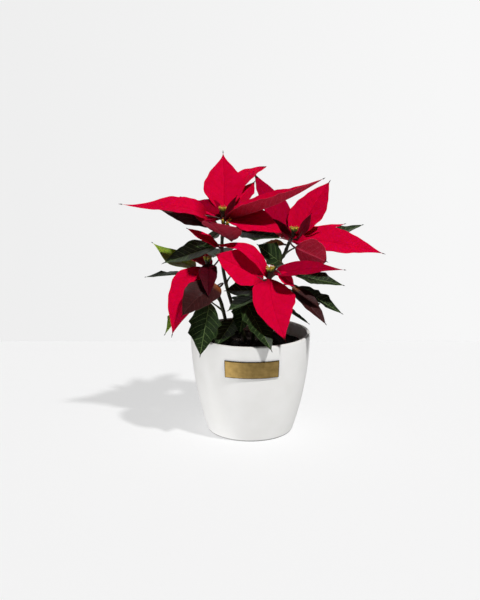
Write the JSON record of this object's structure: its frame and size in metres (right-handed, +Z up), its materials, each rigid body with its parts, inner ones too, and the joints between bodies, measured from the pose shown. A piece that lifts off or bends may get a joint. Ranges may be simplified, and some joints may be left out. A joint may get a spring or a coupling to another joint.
{
  "type": "potted poinsettia",
  "caption": "Poinsettia with long crimson bracts and dark green leaves on tall stems, growing in a flared cream glazed pot with a small blank brass plate on its front.",
  "frame": {"origin": "centre of the pot's flat foot, on the surface that it stands on", "axes": "+Z up along the pot's axis, -Y towards the side with the plate, +X to the right of that side"},
  "size_m": [0.3069, 0.1908, 0.3346],
  "materials": {
    "cream_glaze": "satin glaze",
    "aged_brass": "aged, satin",
    "peat": "moist, rough",
    "green_leaf": "waxy leaf",
    "crimson_bract": "velvety bract",
    "yellow_cup": "waxy cup"
  },
  "bodies": {
    "root": {"pot": "cream_glaze", "plate": "aged_brass", "soil": "peat", "stem_upper": "green_leaf", "bracts_upper": "crimson_bract", "flowers_upper": "yellow_cup", "stem_right": "green_leaf", "bracts_right": "crimson_bract", "flowers_right": "yellow_cup", "stem_front": "green_leaf", "bracts_front": "crimson_bract", "flowers_front": "yellow_cup", "stem_left": "green_leaf", "bracts_left": "crimson_bract", "flowers_left": "yellow_cup"}
  },
  "joints": []
}
